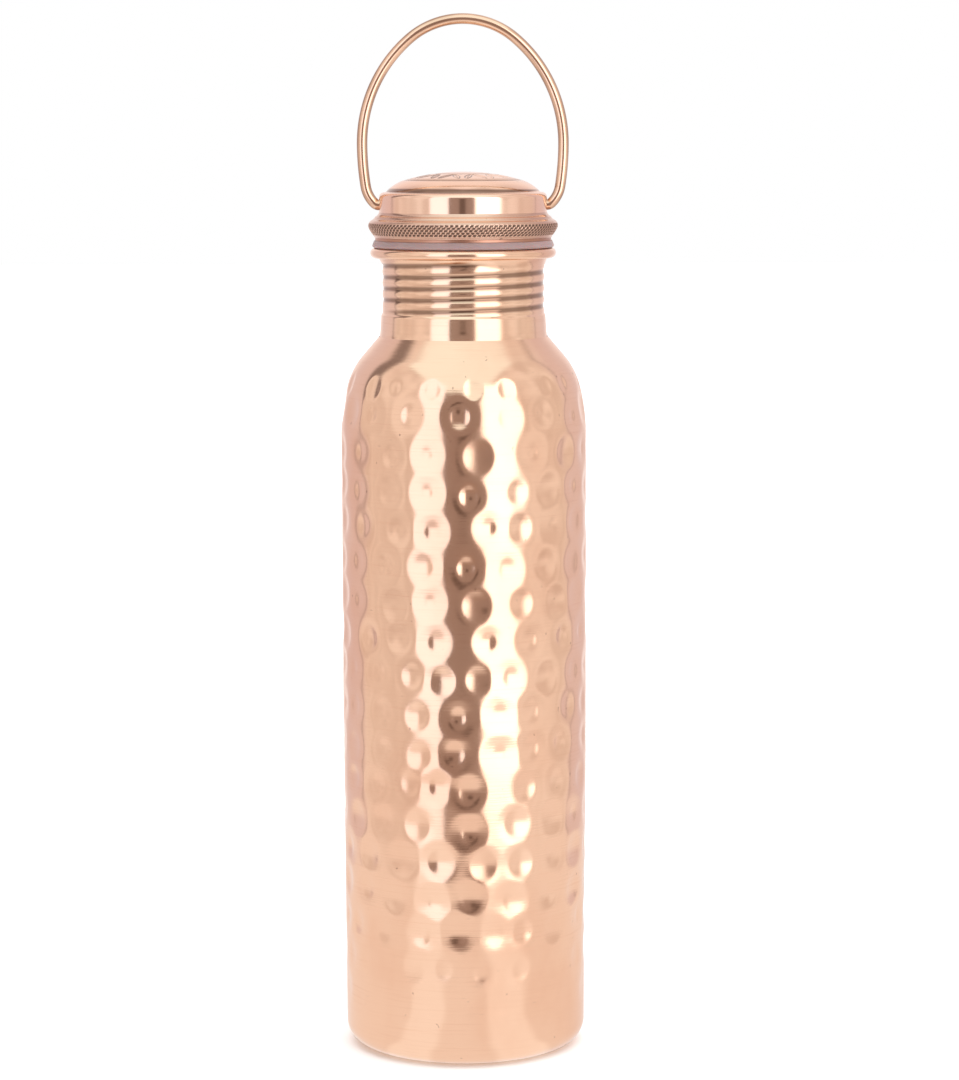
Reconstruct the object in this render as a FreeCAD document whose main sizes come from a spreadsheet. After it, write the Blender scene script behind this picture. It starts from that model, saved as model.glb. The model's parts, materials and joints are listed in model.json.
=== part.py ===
"""Copper water bottle: a hammered shell with a brazed neck and base, and a screw lid that carries a bail.

Frame: Z runs up the bottle's axis, the origin is the middle of the foot, and X runs through the two
pivots of the bail. All lengths are in millimetres and all angles are in degrees.
"""
import FreeCAD, Part
import math
import os
import re
import Sketcher

V = FreeCAD.Vector
PARTS = "parts"

# Driving dimensions, kept in the sheet "dims".
DIMENSIONS = {
    # hammered body
    "shell_wall": 0.5,
    "body_radius": 37.2,
    "foot_radius": 36.6,
    "foot_corner": 6.5,
    "foot_hole": 26.0,
    "barrel_low": 90.0,
    "shoulder_low": 187.0,
    "shoulder_bend": 60.0,
    "shoulder_bend_turn": 14.8,
    "shoulder_knee": 23.1,
    "shoulder_turn": 40.5,
    # base plate
    "plate_radius": 30.0,
    "dish_radius": 25.5,
    "dish_rise": 3.0,
    # neck
    "neck_foot_radius": 25.5,
    "neck_low": 215.2,
    "neck_foot_top": 217.7,
    "neck_band_radius": 25.1,
    "neck_band_middle": 220.8,
    "neck_band_top_radius": 24.75,
    "neck_band_top": 224.2,
    "neck_radius": 24.45,
    "neck_bore": 23.8,
    "neck_bore_low": 225.0,
    "cove_low": 237.2,
    "bead_middle": 26.45,
    "bead_height": 242.35,
    "bead_radius": 1.5,
    "bead_start": 235.0,
    "mouth_radius": 24.4,
    "mouth_chamfer": 0.5,
    # thread
    "thread_pitch": 3.4,
    "thread_start": 224.9,
    "thread_length": 12.0,
    "thread_depth": 0.4,
    "thread_half_root": 0.35,
    "thread_half_mouth": 0.75,
    "thread_clearance": 0.25,
    "thread_overlap": 0.1,
    # threaded plug
    "plug_radius": 23.6,
    "plug_wall": 1.0,
    "plug_low": 224.0,
    "plug_corner": 1.4,
    "flange_radius": 26.5,
    "flange_low": 246.15,
    "flange_thickness": 0.7,
    # gasket
    "gasket_bore": 23.75,
    "gasket_radius": 27.4,
    "gasket_top_radius": 26.8,
    "gasket_low": 243.9,
    "gasket_thickness": 2.2,
    # knurled ring
    "ring_lip_radius": 26.8,
    "ring_lip_height": 247.35,
    "ring_crest_radius": 28.2,
    "ring_crest_low": 249.4,
    "ring_crest_top": 251.6,
    "ring_crest_curve": 1.9,
    "ring_collar_radius": 26.5,
    "ring_collar_height": 253.2,
    "ring_fillet": 2.0,
    "ring_top": 254.5,
    # lid shell
    "lid_radius": 25.3,
    "lid_corner": 1.6,
    "lid_corner_height": 258.9,
    "lid_corner_turn": 70.0,
    "dome_top": 266.6,
    "dome_cap": 65.0,
    "dome_cap_turn": 15.2,
    "dome_haunch": 13.2,
    "dome_haunch_turn": 45.3,
    "pivot_height": 256.7,
    "pivot_hole_radius": 1.7,
    # bail
    "wire_radius": 1.6,
    "bail_top": 312.1,
    "bail_crown": 24.4,
    "bail_half_span": 30.25,
    "bail_widest": 275.0,
    "bail_lean": 9.0,
    "bail_elbow": 9.0,
    "bail_elbow_turn": 46.0,
    "bail_bend": 1.8,
    "bail_end": 23.0,
    "bail_head_radius": 2.3,
    "bail_head_thickness": 0.8,
}

doc = FreeCAD.newDocument("copper_bottle")
sheet = doc.addObject("Spreadsheet::Sheet", "dims")


def fill_sheet():
    """One row for each driving dimension: its name, and its value under the same alias."""
    for row, (alias, number) in enumerate(DIMENSIONS.items(), start=1):
        sheet.set(f"A{row}", alias)
        sheet.set(f"B{row}", str(number))
        sheet.setAlias(f"B{row}", alias)
    doc.recompute()


def bound(text):
    """Turn each sheet name in an expression into its full form, such as dims.shell_wall."""
    return re.sub(r"[a-z_]+", lambda word: f"dims.{word[0]}" if word[0] in DIMENSIONS else word[0], text)


def number(text):
    """Value of an expression over the sheet."""
    return float(sheet.evalExpression(bound(text)))


def around(centre, radius, turn):
    """Point on a circle, as two expressions; turn is counted from the upward direction to the right."""
    return f"{centre[0]} + ({radius}) * sin({turn})", f"{centre[1]} + ({radius}) * cos({turn})"


def origin_plane(body, role):
    """Plane of a body's own origin."""
    return next(feature for feature in body.Origin.OriginFeatures if feature.Role == role)


def new_body(label):
    """Empty body whose label names its file."""
    body = doc.addObject("PartDesign::Body", label)
    body.Label = label
    doc.recompute()
    return body


def new_sketch(body, name, role="XZ_Plane", offset=None):
    """Empty sketch on one of the body's origin planes, moved along the plane's normal by an expression."""
    sketch = body.newObject("Sketcher::SketchObject", name)
    sketch.AttachmentSupport = (origin_plane(body, role), [""])
    sketch.MapMode = "FlatFace"
    if offset:
        sketch.setExpression("AttachmentOffset.Base.z", bound(offset))
    return sketch


def tie(sketch, kind, places, text):
    """Dimension whose value follows an expression over the sheet."""
    index = sketch.addConstraint(Sketcher.Constraint(kind, *places, number(text)))
    sketch.setExpression(f"Constraints[{index}]", bound(text))


def tie_point(sketch, geometry, end, across, up):
    """Fix a point at its distances from the two axes."""
    for kind, axis, text in (("DistanceX", -2, across), ("DistanceY", -1, up)):
        size = number(text)
        if abs(size) < 1e-9:
            sketch.addConstraint(Sketcher.Constraint("PointOnObject", geometry, end, axis))
        elif size > 0:
            tie(sketch, kind, (-1, 1, geometry, end), text)
        else:
            tie(sketch, kind, (geometry, end, -1, 1), f"-({text})")


def arc_between(start, end, radius):
    """Short arc; a positive radius turns left on the way from start to end, a negative one turns right."""
    chord = end - start
    left = V(-chord.y, chord.x, 0).normalize()
    rise = math.sqrt(radius ** 2 - (chord.Length / 2) ** 2)
    side = 1 if radius > 0 else -1
    centre = (start + end) / 2 + left * side * rise
    first, last = (start, end) if side > 0 else (end, start)
    angles = [math.atan2(point.y - centre.y, point.x - centre.x) for point in (first, last)]
    circle = Part.Circle(centre, V(0, 0, 1), abs(radius))
    return Part.ArcOfCircle(circle, angles[0], angles[1])


def draw(sketch, steps, closed=True):
    """Outline through the steps: (across, up) ends a line, and (across, up, radius) ends an arc."""
    points = [V(number(step[0]), number(step[1]), 0) for step in steps]
    count = len(steps) if closed else len(steps) - 1
    ends = []
    for index in range(count):
        following = (index + 1) % len(steps)
        start, end, step = points[index], points[following], steps[following]
        if len(step) == 2:
            geometry = sketch.addGeometry(Part.LineSegment(start, end), False)
            ends.append((geometry, 1, 2))
        else:
            radius = number(step[2])
            geometry = sketch.addGeometry(arc_between(start, end, radius), False)
            ends.append((geometry, 1, 2) if radius > 0 else (geometry, 2, 1))
            tie(sketch, "Radius", (geometry,), step[2] if radius > 0 else f"-({step[2]})")
        tie_point(sketch, geometry, ends[-1][1], *steps[index][:2])
    for index in range(count - 1 + closed):
        this, following = ends[index], ends[(index + 1) % count]
        joint = Sketcher.Constraint("Coincident", this[0], this[2], following[0], following[1])
        sketch.addConstraint(joint)
    if not closed:
        tie_point(sketch, ends[-1][0], ends[-1][2], *steps[-1][:2])


def circle(sketch, across, up, radius):
    """Circle about a point."""
    centre = V(number(across), number(up), 0)
    geometry = sketch.addGeometry(Part.Circle(centre, V(0, 0, 1), number(radius)), False)
    tie_point(sketch, geometry, 3, across, up)
    tie(sketch, "Radius", (geometry,), radius)


def turned(label, steps):
    """Body turned about Z from its outline."""
    body = new_body(label)
    sketch = new_sketch(body, f"{label}_outline")
    draw(sketch, steps)
    doc.recompute()
    feature = body.newObject("PartDesign::Revolution", f"{label}_turned")
    feature.Profile = sketch
    feature.ReferenceAxis = (sketch, ["V_Axis"])
    feature.Angle = 360.0
    doc.recompute()
    return body


def thread(body, name, kind, wall, crest, half_wall, half_crest, start, length):
    """Right-hand helical ridge or groove that starts at -X; it tapers from the wall to the crest."""
    sketch = new_sketch(body, f"{name}_section")
    steps = [(f"-({wall})", f"{start} - ({half_wall})"),
             (f"-({crest})", f"{start} - ({half_crest})"),
             (f"-({crest})", f"{start} + ({half_crest})"),
             (f"-({wall})", f"{start} + ({half_wall})")]
    draw(sketch, steps)
    doc.recompute()
    helix = body.newObject(kind, name)
    helix.Profile = sketch
    helix.ReferenceAxis = (sketch, ["V_Axis"])
    helix.Mode = "pitch-height-angle"
    helix.setExpression("Pitch", bound("thread_pitch"))
    helix.setExpression("Height", bound(length))
    helix.LeftHanded = False
    doc.recompute()
    return helix


def hammered_body():
    """Drawn shell: rounded foot turned inward, slightly tapered barrel, and shoulder ending in a cone."""
    bend = ("body_radius - shoulder_bend", "shoulder_low")
    bend_level = "90 - shoulder_bend_turn"
    reach = "(shoulder_bend - shoulder_knee)"
    knee = around(bend, reach, bend_level)
    knee_level = "90 - shoulder_turn"
    outer_knee = around(knee, "shoulder_knee", knee_level)
    inner_knee = around(knee, "shoulder_knee - shell_wall", knee_level)
    cone_top = f"{outer_knee[1]} + ({outer_knee[0]} - neck_foot_radius) * tan({knee_level})"
    steps = [("foot_hole", "0"),
             ("foot_radius - foot_corner", "0"),
             ("foot_radius", "foot_corner", "foot_corner"),
             ("body_radius", "barrel_low"),
             ("body_radius", "shoulder_low"),
             (*around(bend, "shoulder_bend", bend_level), "shoulder_bend"),
             (*outer_knee, "shoulder_knee"),
             ("neck_foot_radius", cone_top),
             ("neck_foot_radius", f"{cone_top} - shell_wall / cos({knee_level})"),
             inner_knee,
             (*around(bend, "shoulder_bend - shell_wall", bend_level), "-(shoulder_knee - shell_wall)"),
             ("body_radius - shell_wall", "shoulder_low", "-(shoulder_bend - shell_wall)"),
             ("body_radius - shell_wall", "barrel_low"),
             ("foot_radius - shell_wall", "foot_corner"),
             ("foot_radius - foot_corner", "shell_wall", "-(foot_corner - shell_wall)"),
             ("foot_hole", "shell_wall")]
    return turned("hammered_body", steps)


def base_plate():
    """Disc brazed onto the foot's inward hem, its middle dished up clear of the table."""
    dish = "(dish_radius ^ 2 + dish_rise ^ 2) / (2 * dish_rise)"
    steps = [("0", "shell_wall + dish_rise"),
             ("dish_radius", "shell_wall", f"-({dish})"),
             ("plate_radius", "shell_wall"),
             ("plate_radius", "2 * shell_wall"),
             ("dish_radius", "2 * shell_wall"),
             ("0", "2 * shell_wall + dish_rise", dish)]
    return turned("base_plate", steps)


def threaded_neck():
    """Tube brazed into the shoulder: plain band, thread rolled through the wall, cove and mouth bead."""
    bead = ("bead_middle", "bead_height")
    bead_low = around(bead, "bead_radius", "90 - bead_start")
    run = f"({bead_low[0]} - neck_radius)"
    rise = f"({bead_low[1]} - cove_low)"
    cove = f"({run} ^ 2 + {rise} ^ 2) / (2 * {run})"
    steps = [("neck_foot_radius - shell_wall", "neck_low"),
             ("neck_foot_radius", "neck_low"),
             ("neck_foot_radius", "neck_foot_top"),
             ("neck_band_radius", "neck_band_middle"),
             ("neck_band_top_radius", "neck_band_top"),
             ("neck_radius", "neck_band_top + neck_band_top_radius - neck_radius"),
             ("neck_radius", "cove_low"),
             (*bead_low, f"-({cove})"),
             ("bead_middle + bead_radius", "bead_height", "bead_radius"),
             ("bead_middle", "bead_height + bead_radius", "bead_radius"),
             ("mouth_radius", "bead_height + bead_radius"),
             ("neck_bore", "bead_height + bead_radius - mouth_chamfer"),
             ("neck_bore", "neck_bore_low"),
             ("neck_foot_radius - shell_wall", "neck_foot_top")]
    body = turned("threaded_neck", steps)
    spread = "thread_overlap * (thread_half_mouth - thread_half_root) / thread_depth"
    thread(body, "neck_groove", "PartDesign::SubtractiveHelix",
           "neck_radius + thread_overlap", "neck_radius - thread_depth",
           f"thread_half_mouth + {spread}", "thread_half_root", "thread_start", "thread_length")
    thread(body, "neck_ridge", "PartDesign::AdditiveHelix",
           "neck_bore + thread_overlap", "neck_bore - thread_depth",
           f"thread_half_mouth + {spread}", "thread_half_root", "thread_start", "thread_length")
    return body


def threaded_plug():
    """Hollow plug under the lid: closed below, grooved to take the neck's ridge, flanged above."""
    flange_top = "flange_low + flange_thickness"
    steps = [("0", "plug_low"),
             ("plug_radius - plug_corner", "plug_low"),
             ("plug_radius", "plug_low + plug_corner", "plug_corner"),
             ("plug_radius", "flange_low"),
             ("flange_radius", "flange_low"),
             ("flange_radius", flange_top),
             ("plug_radius - plug_wall", flange_top),
             ("plug_radius - plug_wall", "plug_low + plug_wall"),
             ("0", "plug_low + plug_wall")]
    body = turned("threaded_plug", steps)
    thread(body, "plug_groove", "PartDesign::SubtractiveHelix",
           "neck_bore", "neck_bore - thread_depth - thread_clearance",
           "thread_half_mouth + thread_clearance", "thread_half_root + thread_clearance",
           "thread_start - thread_pitch", "thread_length + 1.5 * thread_pitch")
    return body


def lid_gasket():
    """Silicone washer that hangs on the plug between the flange and the mouth bead."""
    edge = "(gasket_radius - gasket_top_radius)"
    steps = [("gasket_bore", "gasket_low"),
             (f"gasket_radius - {edge}", "gasket_low"),
             ("gasket_radius", f"gasket_low + {edge}", edge),
             ("gasket_top_radius", "gasket_low + gasket_thickness"),
             ("gasket_bore", "gasket_low + gasket_thickness")]
    return turned("lid_gasket", steps)


def knurled_ring():
    """Grip ring shrunk round the lid wall: a long lower taper, a round crest and a steep upper taper."""
    seat = "flange_low + flange_thickness"
    steps = [("lid_radius", seat),
             ("flange_radius", seat),
             ("ring_lip_radius", "ring_lip_height"),
             ("ring_crest_radius", "ring_crest_low"),
             ("ring_crest_radius", "ring_crest_top", "ring_crest_curve"),
             ("ring_collar_radius", "ring_collar_height"),
             ("lid_radius", "ring_top", "-ring_fillet")]
    return turned("knurled_ring", steps)


def lid_shell():
    """Spun cap: straight wall, rolled corner, shallow valley and a dome, with a hole each side in the wall."""
    corner = ("lid_radius - lid_corner", "lid_corner_height")
    corner_end = "90 - lid_corner_turn"
    cap = ("0", "dome_top - dome_cap")
    haunch = around(cap, "dome_cap - dome_haunch", "dome_cap_turn")
    steps = [("lid_radius", "flange_low + flange_thickness"),
             ("lid_radius", "lid_corner_height"),
             (*around(corner, "lid_corner", corner_end), "lid_corner"),
             around(haunch, "dome_haunch", "dome_haunch_turn"),
             (*around(cap, "dome_cap", "dome_cap_turn"), "dome_haunch"),
             ("0", "dome_top", "dome_cap"),
             ("0", "dome_top - shell_wall"),
             (*around(cap, "dome_cap - shell_wall", "dome_cap_turn"), "-(dome_cap - shell_wall)"),
             (*around(haunch, "dome_haunch - shell_wall", "dome_haunch_turn"),
              "-(dome_haunch - shell_wall)"),
             around(corner, "lid_corner - shell_wall", corner_end),
             ("lid_radius - shell_wall", "lid_corner_height", "-(lid_corner - shell_wall)"),
             ("lid_radius - shell_wall", "flange_low + flange_thickness")]
    body = turned("lid_shell", steps)
    sketch = new_sketch(body, "pivot_hole_outline", "YZ_Plane")
    circle(sketch, "0", "pivot_height", "pivot_hole_radius")
    doc.recompute()
    holes = body.newObject("PartDesign::Pocket", "pivot_holes")
    holes.Profile = sketch
    holes.Type = "Length"
    holes.Midplane = True
    holes.setExpression("Length", bound("4 * lid_radius"))
    doc.recompute()
    return body


def bail_handle():
    """Round wire bent to a hoop; its ends turn in along X, pass through the lid wall and are headed."""
    inset = "(bail_half_span - bail_crown)"
    drop = "(bail_top - bail_widest - bail_crown)"
    stretch = f"(({inset} ^ 2 + {drop} ^ 2) / (2 * {inset}))"
    bend_top = "(pivot_height + bail_bend * (1 - sin(bail_elbow_turn)))"
    leg_low = f"({bend_top} + bail_elbow * (sin(bail_elbow_turn) - sin(bail_lean)))"
    leg = f"((bail_widest - {leg_low}) / sin(bail_lean))"
    leg_end = f"(bail_half_span - {leg} * (1 - cos(bail_lean)))"
    elbow_end = f"({leg_end} - bail_elbow * (cos(bail_lean) - cos(bail_elbow_turn)))"
    bend_end = f"({elbow_end} - bail_bend * cos(bail_elbow_turn))"
    steps = [("0", "bail_top"),
             (f"bail_crown * ({stretch} - {inset}) / {stretch}",
              f"bail_top - bail_crown * (1 - {drop} / {stretch})", "-bail_crown"),
             ("bail_half_span", "bail_widest", f"-(bail_crown + {stretch})"),
             (leg_end, leg_low, f"-{leg}"),
             (elbow_end, bend_top, "-bail_elbow"),
             (bend_end, "pivot_height", "-bail_bend"),
             ("bail_end", "pivot_height")]
    body = new_body("bail_handle")
    path = new_sketch(body, "bail_path")
    draw(path, steps, closed=False)
    section = new_sketch(body, "wire_section", "YZ_Plane")
    circle(section, "0", "bail_top", "wire_radius")
    doc.recompute()
    wire = body.newObject("PartDesign::AdditivePipe", "half_hoop")
    wire.Profile = section
    wire.Spine = path
    doc.recompute()
    head_outline = new_sketch(body, "head_outline", "YZ_Plane", "bail_end")
    circle(head_outline, "0", "pivot_height", "bail_head_radius")
    doc.recompute()
    head = body.newObject("PartDesign::Pad", "peened_head")
    head.Profile = head_outline
    head.setExpression("Length", bound("bail_head_thickness"))
    doc.recompute()
    other_half = body.newObject("PartDesign::Mirrored", "other_half")
    other_half.Originals = [wire, head]
    other_half.MirrorPlane = (origin_plane(body, "YZ_Plane"), [""])
    body.Tip = other_half
    doc.recompute()
    return body


def check(bodies):
    """Stop on a failed object, or on a part without one valid solid."""
    for item in doc.Objects:
        if {"Invalid", "Error"} & set(item.State):
            raise RuntimeError(f"{item.Label} failed: {item.State}")
    for body in bodies:
        shape = body.Shape
        if shape.isNull() or not shape.isValid() or len(shape.Solids) != 1:
            raise RuntimeError(f"{body.Label} is not one valid solid")


def export(bodies):
    """Write each part to its own file."""
    os.makedirs(PARTS, exist_ok=True)
    for body in bodies:
        body.Shape.exportStep(f"{PARTS}/{body.Label}.step")
        box = body.Shape.BoundBox
        print(f"{body.Label}: volume {body.Shape.Volume:.0f} mm3, Z {box.ZMin:.2f} to {box.ZMax:.2f}")


fill_sheet()
parts = [hammered_body(), base_plate(), threaded_neck(), threaded_plug(), lid_gasket(), knurled_ring(),
         lid_shell(), bail_handle()]
doc.recompute()
check(parts)
export(parts)
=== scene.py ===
"""Looks of the hammered copper water bottle, built round its CAD frame."""

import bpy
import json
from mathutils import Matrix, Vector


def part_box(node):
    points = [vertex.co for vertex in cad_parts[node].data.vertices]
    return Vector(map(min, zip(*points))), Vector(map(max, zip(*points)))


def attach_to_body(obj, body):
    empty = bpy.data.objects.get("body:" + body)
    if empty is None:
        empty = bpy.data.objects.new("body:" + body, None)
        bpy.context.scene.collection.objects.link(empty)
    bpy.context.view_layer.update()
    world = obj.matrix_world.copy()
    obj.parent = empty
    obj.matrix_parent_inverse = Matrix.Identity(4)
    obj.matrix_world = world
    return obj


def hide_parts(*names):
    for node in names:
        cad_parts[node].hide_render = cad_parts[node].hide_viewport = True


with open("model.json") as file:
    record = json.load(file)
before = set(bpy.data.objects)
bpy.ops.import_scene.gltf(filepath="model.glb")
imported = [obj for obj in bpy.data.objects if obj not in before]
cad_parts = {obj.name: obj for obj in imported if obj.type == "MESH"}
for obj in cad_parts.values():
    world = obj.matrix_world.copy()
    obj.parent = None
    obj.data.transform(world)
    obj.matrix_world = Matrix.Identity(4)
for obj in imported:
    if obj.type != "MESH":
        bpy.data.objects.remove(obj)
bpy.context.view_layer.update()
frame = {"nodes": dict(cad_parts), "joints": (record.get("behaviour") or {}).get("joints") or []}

import json
import math

import bmesh
import bpy
import numpy as np
from mathutils import Matrix, Vector

MM = 0.001
# Direction of the front, in degrees from +X.
FRONT = -90
RANDOM = np.random.default_rng(11)


def extent(node):
    """Greatest radius, lowest height and greatest height of a CAD node, in millimetres."""
    low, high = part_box(node)
    return high[0] / MM, low[2] / MM, high[2] / MM


# Sizes read from the frame, in millimetres.
BODY_RADIUS, _, _ = extent("hammered_body")
_, NECK_LOW, MOUTH_HEIGHT = extent("threaded_neck")
FLANGE_RADIUS, _, _ = extent("threaded_plug")
GASKET_RADIUS, GASKET_LOW, GASKET_TOP = extent("lid_gasket")
_, RING_LOW, RING_TOP = extent("knurled_ring")
LID_RADIUS, LID_LOW, DOME_TOP = extent("lid_shell")
BAIL_REACH, _, BAIL_TOP = extent("bail_handle")
BAIL_SWING = next(joint for joint in frame["joints"] if joint["name"] == "bail_swing")
PIVOT_HEIGHT = BAIL_SWING["pos_m"][2] / MM


# ---------------------------------------------------------------- outlines

def arc(start, end, bend, spacing):
    """Points after start on the short arc to end; a positive bend turns left, a negative one right."""
    start, end = np.array(start), np.array(end)
    chord = end - start
    length = np.hypot(*chord)
    left = np.array((-chord[1], chord[0])) / length
    rise = math.sqrt(max(bend * bend - length * length / 4, 0.0))
    centre = (start + end) / 2 + left * math.copysign(rise, bend)
    first = math.atan2(start[1] - centre[1], start[0] - centre[0])
    turn = math.copysign(2 * math.asin(min(length / 2 / abs(bend), 1.0)), bend)
    count = max(2, math.ceil(abs(turn * bend) / spacing))
    angles = first + turn * np.arange(1, count + 1) / count
    return centre + abs(bend) * np.stack((np.cos(angles), np.sin(angles)), 1)


def trace(steps, closed=True):
    """Outline through steps (radius, height, bend, spacing); a bend of 0 is a straight run. A closed
    outline goes out along the bottom, up the outside, in over the top and down the inside."""
    points = [np.array([steps[0][:2]], float)]
    ends = steps[1:] + steps[:1] if closed else steps[1:]
    place = steps[0][:2]
    for radius, height, bend, spacing in ends:
        if bend:
            points.append(arc(place, (radius, height), bend, spacing))
        else:
            count = max(1, math.ceil(math.hypot(radius - place[0], height - place[1]) / spacing))
            share = np.arange(1, count + 1)[:, None] / count
            points.append(np.array([place]) * (1 - share) + np.array([(radius, height)]) * share)
        place = (radius, height)
    outline = np.concatenate(points)
    return outline[:-1] if closed else outline


def on_circle(centre, radius, turn):
    """Point on a circle; turn is in degrees from the upward direction to the right."""
    angle = math.radians(turn)
    return centre[0] + radius * math.sin(angle), centre[1] + radius * math.cos(angle)


def smoothstep(value, low, high):
    """0 below low, 1 above high, and a smooth change between them."""
    share = np.clip((value - low) / (high - low), 0, 1)
    return share * share * (3 - 2 * share)


# ---------------------------------------------------------------- meshes

def add_mesh(name, vertices, faces, sharp_angle):
    """Smooth-shaded piece from vertices in millimetres and quads, its own edges sharp above an angle."""
    mesh = bpy.data.meshes.new(name)
    mesh.from_pydata((vertices * MM).tolist(), [], faces.tolist())
    mesh.shade_smooth()
    mesh.set_sharp_from_angle(angle=math.radians(sharp_angle))
    piece = bpy.data.objects.new(name, mesh)
    bpy.context.collection.objects.link(piece)
    return piece


def turned(name, outline, columns, relief=None, closed=True, sharp_angle=40.0):
    """Piece turned about Z from its outline, and how far each of its points was moved. relief(angle,
    height, radius) gives that move along the outward normal, in millimetres. An outline that isn't closed
    starts and ends on the axis."""
    if closed:
        tangent = np.roll(outline, -1, 0) - np.roll(outline, 1, 0)
    else:
        tangent = np.gradient(outline, axis=0)
        tangent[0] = (1, 0)
        tangent[-1] = (-1, 0)
    tangent /= np.hypot(*tangent.T)[:, None]
    normal = np.stack((tangent[:, 1], -tangent[:, 0]), 1)
    angle = np.arange(columns) * 2 * math.pi / columns
    move = np.zeros((len(outline), columns))
    if relief:
        move = relief(angle[None, :], outline[:, 1:], outline[:, :1])
    radius = outline[:, :1] + normal[:, :1] * move
    height = outline[:, 1:] + normal[:, 1:] * move
    vertices = np.stack((radius * np.cos(angle), radius * np.sin(angle), height), 2)
    index = np.arange(len(outline) * columns).reshape(len(outline), columns)
    below, above = (index, np.roll(index, -1, 0)) if closed else (index[:-1], index[1:])
    faces = np.stack((below, np.roll(below, -1, 1), np.roll(above, -1, 1), above), 2).reshape(-1, 4)
    piece = add_mesh(name, vertices.reshape(-1, 3), faces, sharp_angle)
    if not closed:
        weld_poles(piece, len(outline), columns)
    return piece, move


def weld_poles(piece, rows, columns):
    """Merge the first and the last row of points, which each lie at one place, into one vertex each."""
    work = bmesh.new()
    work.from_mesh(piece.data)
    work.verts.ensure_lookup_table()
    last = (rows - 1) * columns
    poles = [[work.verts[first + column] for column in range(columns)] for first in (0, last)]
    for pole in poles:
        bmesh.ops.pointmerge(work, verts=pole, merge_co=pole[0].co)
    bmesh.ops.dissolve_degenerate(work, dist=1e-9, edges=work.edges)
    work.to_mesh(piece.data)
    work.free()


def set_tarnish_and_shade(piece, depth):
    """Keep how deep each point lies in a recess, from 0 to about 1, or a mask of painted shade, for the
    material's tarnish and painted shade.
    """
    attribute = piece.data.attributes.new("tarnish_and_shade_mask", "FLOAT", "POINT")
    attribute.data.foreach_set("value", depth.ravel())


def bore(piece, height, radius, length):
    """Cut a round hole right through a piece along X."""
    bpy.ops.mesh.primitive_cylinder_add(vertices=48, radius=radius * MM, depth=length * MM,
                                        location=(0, 0, height * MM), rotation=(0, math.pi / 2, 0))
    cutter = bpy.context.object
    cut = piece.modifiers.new("pivot_holes", "BOOLEAN")
    cut.operation = "DIFFERENCE"
    cut.solver = "EXACT"
    cut.object = cutter
    with bpy.context.temp_override(object=piece, active_object=piece):
        bpy.ops.object.modifier_apply(modifier=cut.name)
    bpy.data.objects.remove(cutter)


def attach(piece, slot, body, material, *nodes):
    """Give a piece its material, its body and the CAD nodes that it stands for. The slot is not used."""
    piece.data.materials.append(material)
    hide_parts(*nodes)
    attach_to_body(piece, body)


# ---------------------------------------------------------------- hammered body

WALL = 0.5
# The visual wall along the barrel, thicker than WALL so that its inner side clears the deepest mark.
MARKED_WALL = 1.4
FOOT_RADIUS = BODY_RADIUS - 0.6
FOOT_CORNER = 6.5
FOOT_HOLE = 26.0
BARREL_LOW = 90.0
SHOULDER_LOW = 187.0
SHOULDER_BEND = 60.0
SHOULDER_BEND_TURN = 14.8
SHOULDER_KNEE = 23.1
SHOULDER_TURN = 40.5
NECK_FOOT_RADIUS = 25.5

MARK_RADIUS = 6.4
MARK_SINK = 0.4
MARK_ROW_TOP = 195.3
MARK_ROW_STEP = 11.05
MARKS_PER_ROW = 18
MARK_JITTER = 2.0
SMALLEST_PUNCH = 1.8
LARGEST_PUNCH = 4.6
PUNCH_SLOPE = 8.5
PUNCH_STRETCH = 1.2
# The front marks of each row, from the top: (angle to the right of the front in degrees, punch radius).
FRONT_MARKS = (
    ((-26.0, 3.0), (-2.0, 3.4), (21.0, 3.5)),
    ((-17.4, 1.9), (6.3, 4.6), (33.5, 2.2)),
    ((-17.4, 2.0), (2.3, 3.0), (25.3, 3.0)),
    ((-14.7, 2.6), (11.2, 2.2), (27.0, 3.4)),
    ((-19.2, 3.2), (0.9, 3.0), (20.1, 3.0)),
    ((-16.0, 2.0), (5.1, 4.3), (27.6, 3.6)),
    ((-12.9, 2.7), (10.9, 2.2), (31.9, 2.6)),
    ((-25.0, 3.4), (-10.3, 3.6), (6.0, 3.8), (21.9, 2.6)),
    ((-22.3, 3.4), (-3.1, 2.6), (16.5, 2.4), (32.5, 3.0)),
    ((-21.5, 3.4), (-4.6, 3.2), (16.5, 2.0), (32.5, 3.0)),
    ((-26.0, 3.4), (-13.0, 2.4), (1.5, 3.4), (29.5, 3.4)),
    ((-22.8, 3.8), (1.7, 2.8), (24.7, 3.8)),
    ((-12.0, 3.4), (8.6, 4.0), (27.0, 3.6)),
    ((-14.7, 2.2), (2.2, 3.6), (22.8, 3.4)),
    ((-21.0, 3.0), (-2.9, 3.2), (13.8, 3.2), (28.5, 3.0)),
    ((-10.0, 3.0), (7.0, 2.6), (27.0, 3.0)),
    ((-16.0, 3.2), (2.0, 3.0), (17.0, 3.2)),
)
# Rows whose mark within HEAVY_BLOW_REACH degrees of the front is steeper than the rest, and how many times.
HEAVY_BLOWS = {0: 1.75, 2: 1.8, 4: 1.65, 8: 1.55}
HEAVY_BLOW_REACH = 5
FAINT_ROWS = 4.0
SMALL_MARK_ROW = 203.8
SMALL_MARK_SINK = 0.06
SMALL_FRONT_MARKS = ((-15.4, 2.9), (4.4, 2.9), (21.0, 2.7))
LARGEST_SMALL_PUNCH = 3.2
WAVER = 0.05
BODY_COLUMNS = 312


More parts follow.
